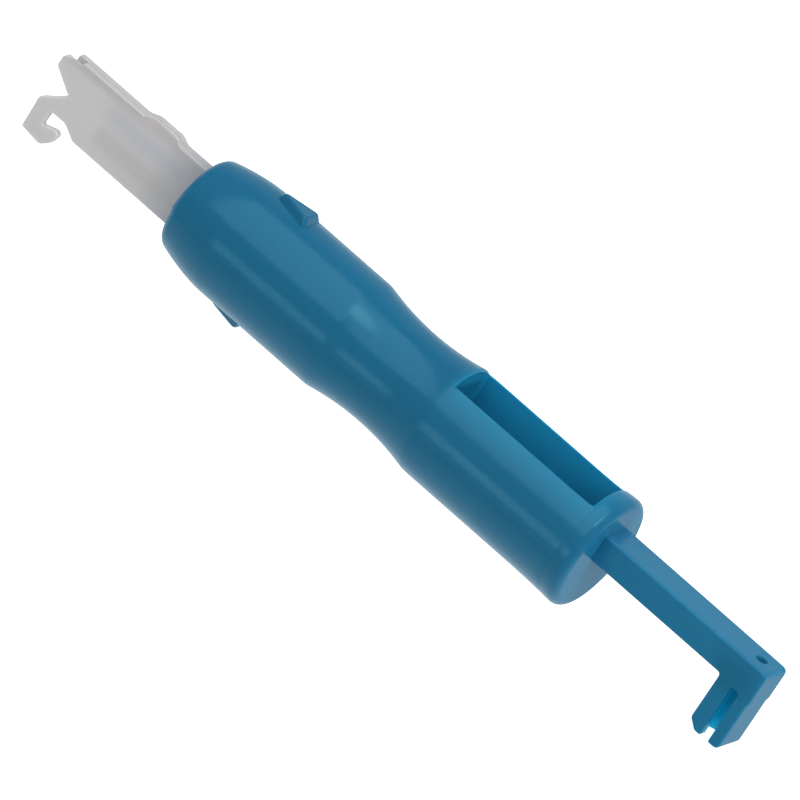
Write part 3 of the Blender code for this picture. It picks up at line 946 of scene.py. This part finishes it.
def threading_pin(material):
    """A flat steel strip that narrows to a fine wire with a plain point."""
    half = STRIP_THICKNESS / 2
    outline = rounded((
        (STRIP_REAR, STRIP_HIGH, 0.0),
        (STRIP_FRONT, STRIP_HIGH, 0.3),
        (NECK_FRONT, PIN_HEIGHT + PIN_RADIUS, 0.3),
        (NECK_FRONT, PIN_HEIGHT - PIN_RADIUS, 0.0),
        (STRIP_FRONT, STRIP_LOW, 0.5),
        (STRIP_REAR, STRIP_LOW, 0.0),
    ))
    body = settled_object("pin", prism(outline, 1, -half, half))
    point = [(PIN_FRONT, 0.05), (PIN_FRONT + 0.2, 0.1), (PIN_FRONT + 0.5, PIN_RADIUS - 0.01)]
    wire = turned(point + [(NECK_FRONT + 1.0, PIN_RADIUS - 0.01)], 24)
    bmesh.ops.translate(wire, vec=(0.0, 0.0, PIN_HEIGHT), verts=wire.verts)
    wire_object = settled_object("pin_wire", wire)
    shape_with(body, wire_object, "UNION")
    apply_shape(body, [wire_object])
    dress(body, "handle", material, "spring_steel", "threading_pin")


def return_spring(material):
    """A compression spring between its front and rear seats, built at one fixed length."""
    bm = bmesh.new()
    wire_sides = 12
    steps_per_turn = 40
    steps = SPRING_TURNS * steps_per_turn
    pitch = (SPRING_REAR - SPRING_FRONT) / steps
    rings = []
    for step in range(steps + 1):
        turn = 2 * math.pi * step / steps_per_turn
        outward = Vector((0.0, math.cos(turn), math.sin(turn)))
        middle = outward * SPRING_RADIUS + Vector((SPRING_FRONT + pitch * step, 0.0, 0.0))
        ring = []
        for number in range(wire_sides):
            around = 2 * math.pi * number / wire_sides
            offset = outward * math.cos(around) + Vector((math.sin(around), 0.0, 0.0))
            ring.append(bm.verts.new(middle + offset * SPRING_WIRE_RADIUS))
        rings.append(ring)
    skin(bm, rings)
    spring = settled_object("spring", bm)
    apply_shape(spring)
    dress(spring, "handle", material, "spring_steel", "return_spring")
    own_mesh(spring)


# ---------------------------------------------------------------- stage

def camera():
    """A long lens that sees the tool's -Y side, its rear end turned to the viewer."""
    roll = math.radians(25)
    tilt = math.asin(0.28)
    turn = math.radians(41.3)
    distance = 3.5
    middle_along = 30.9
    middle_drop = 1.55
    picture_width = 0.0825
    sensor = 36.0
    along = Vector((1.0, 0.0, 0.0))
    side = Vector((0.0, -math.cos(roll), math.sin(roll)))
    above = Vector((0.0, math.sin(roll), math.cos(roll)))
    back = math.cos(tilt) * side + math.sin(tilt) * along
    seen_along = math.cos(tilt) * along - math.sin(tilt) * side
    right = math.cos(turn) * seen_along + math.sin(turn) * above
    up = math.cos(turn) * above - math.sin(turn) * seen_along
    target = RIM + (along * middle_along - above * middle_drop) * MM
    data = bpy.data.cameras.new("camera")
    data.sensor_width = sensor
    data.lens = sensor * distance / picture_width
    item = bpy.data.objects.new("camera", data)
    turned_to = Matrix((right, up, back)).transposed().to_4x4()
    item.matrix_world = Matrix.Translation(target + back * distance) @ turned_to
    bpy.context.scene.collection.objects.link(item)
    bpy.context.scene.camera = item


def soft_box(name, elevation, along, width, height, radiance, lean=0.0, glossy=True):
    """A rectangular light that faces the tool.

    Its elevation is measured in the plane across the tool, up from the front; along is
    the X part of its direction; lean turns it about the line to the tool.  A light that
    isn't glossy makes no highlights.
    """
    distance = 0.6
    middle = (cad_bounds[0] + cad_bounds[1]) / 2
    up_angle = math.radians(elevation)
    across = math.sqrt(1 - along ** 2)
    direction = Vector((along, -across * math.cos(up_angle), across * math.sin(up_angle)))

    data = bpy.data.lights.new(name, "AREA")
    data.shape = "RECTANGLE"
    data.size = width * distance
    data.size_y = height * distance
    data.energy = radiance * math.pi * data.size * data.size_y

    item = bpy.data.objects.new(name, data)
    across_tool = Vector((1.0, 0.0, 0.0)).cross(direction).normalized()
    along_tool = across_tool.cross(direction)
    facing = Matrix((along_tool, across_tool, direction)).transposed().to_4x4()
    place = Matrix.Translation(middle + direction * distance)
    item.matrix_world = place @ facing @ Matrix.Rotation(math.radians(lean), 4, "Z")
    item.visible_camera = False
    item.visible_glossy = glossy
    bpy.context.scene.collection.objects.link(item)


def surroundings():
    """Light tent round the tool: bright behind and below, dark where the camera stands.

    The brightness depends on the angle round the tool's axis: -180 degrees is straight
    behind, -90 below, 0 in front and 90 above.  Only the light from the front, between
    the two angles given here, is white: the rest is slightly blue.
    """
    front_from = -40
    front_to = 105
    tint = (0.84, 1.0, 1.04)
    brightness = (
        (-180, 0.75),
        (-155, 0.56),
        (-120, 0.95),
        (-75, 0.95),
        (-52, 0.74),
        (-34, 0.44),
        (-5, 0.24),
        (40, 0.18),
        (104, 0.15),
        (114, 0.2),
        (130, 0.4),
        (155, 0.5),
        (180, 0.75),
    )
    world = bpy.data.worlds.new("surroundings")
    bpy.context.scene.world = world
    world.use_nodes = True
    tree = world.node_tree
    tree.nodes.clear()
    place = tree.nodes.new("ShaderNodeTexCoord")
    split = tree.nodes.new("ShaderNodeSeparateXYZ")
    front = tree.nodes.new("ShaderNodeMath")
    front.operation = "MULTIPLY"
    front.inputs[1].default_value = -1.0
    angle = tree.nodes.new("ShaderNodeMath")
    angle.operation = "ARCTAN2"
    share = tree.nodes.new("ShaderNodeMapRange")
    share.inputs["From Min"].default_value = -math.pi
    share.inputs["From Max"].default_value = math.pi
    ramp = tree.nodes.new("ShaderNodeValToRGB")
    ramp.color_ramp.interpolation = "EASE"
    stops = ramp.color_ramp.elements
    for number, (degrees, value) in enumerate(brightness):
        position = (degrees + 180) / 360
        if number < 2:
            stop = stops[number]
            stop.position = position
        else:
            stop = stops.new(position)
        channels = (1.0, 1.0, 1.0) if front_from < degrees < front_to else tint
        stop.color = (*(value * channel for channel in channels), 1.0)
    lighting = tree.nodes.new("ShaderNodeBackground")
    seen = tree.nodes.new("ShaderNodeBackground")
    seen.inputs["Color"].default_value = (1.0, 1.0, 1.0, 1.0)
    path = tree.nodes.new("ShaderNodeLightPath")
    mix = tree.nodes.new("ShaderNodeMixShader")
    output = tree.nodes.new("ShaderNodeOutputWorld")
    tree.links.new(place.outputs["Generated"], split.inputs["Vector"])
    tree.links.new(split.outputs["Y"], front.inputs[0])
    tree.links.new(split.outputs["Z"], angle.inputs[0])
    tree.links.new(front.outputs["Value"], angle.inputs[1])
    tree.links.new(angle.outputs["Value"], share.inputs["Value"])
    tree.links.new(share.outputs["Result"], ramp.inputs["Fac"])
    tree.links.new(ramp.outputs["Color"], lighting.inputs["Color"])
    tree.links.new(path.outputs["Is Camera Ray"], mix.inputs["Fac"])
    tree.links.new(lighting.outputs["Background"], mix.inputs[1])
    tree.links.new(seen.outputs["Background"], mix.inputs[2])
    tree.links.new(mix.outputs["Shader"], output.inputs["Surface"])


def studio():
    """A large soft box above with a brighter middle, a low strip and two fill lights."""
    soft_box("key_light", elevation=64, along=-0.19, width=0.85, height=1.25, radiance=1.33, lean=-18)
    soft_box("key_centre", elevation=67, along=0.1, width=0.34, height=0.4, radiance=2.5)
    soft_box("front_strip", elevation=-9.5, along=-0.2, width=0.42, height=0.26, radiance=1.45)
    soft_box("rear_fill", elevation=68, along=0.82, width=0.7, height=0.7, radiance=3.1, glossy=False)
    soft_box("front_fill", elevation=80, along=-0.8, width=0.7, height=0.7, radiance=1.2, glossy=False)


def floor():
    """A plain pale floor that shows to the camera and lends the tool no colour."""
    bm = bmesh.new()
    bmesh.ops.create_grid(bm, x_segments=1, y_segments=1, size=6.0)
    mesh = bpy.data.meshes.new("floor")
    bm.to_mesh(mesh)
    bm.free()
    item = bpy.data.objects.new("floor", mesh)
    item.location.z = cad_bounds[0].z
    bpy.context.scene.collection.objects.link(item)
    nodes = Nodes("pale_floor")
    nodes.shader.inputs["Base Color"].default_value = (0.8, 0.8, 0.8, 1.0)
    nodes.shader.inputs["Roughness"].default_value = 0.9
    nodes.shader.inputs["Emission Color"].default_value = (1.0, 1.0, 1.0, 1.0)
    nodes.shader.inputs["Emission Strength"].default_value = 1.0
    mesh.materials.append(nodes.material)
    item.visible_diffuse = False
    item.visible_glossy = False
    item.visible_transmission = False
    item.visible_shadow = False


# ---------------------------------------------------------------- the whole scene

def main():
    blue = blue_plastic()
    milky = milky_plastic()
    steel = spring_steel()
    handle_shell("upper_shell_skin", 1, blue, "upper_shell")
    handle_shell("lower_shell_skin", -1, blue, "lower_shell")
    direction_mark("upper_mark", 1, blue)
    direction_mark("lower_mark", -1, blue)
    inserter_end(blue)
    tip_plate("hook_plate_skin", -1, hook_plate_outline(), milky, "hook_plate")
    tip_plate("guide_plate_skin", 1, guide_plate_outline(), milky, "guide_plate")
    pin_carrier(blue)
    threading_pin(steel)
    return_spring(steel)
    camera()
    surroundings()
    studio()
    floor()
    bpy.context.scene.view_settings.view_transform = "Standard"


main()
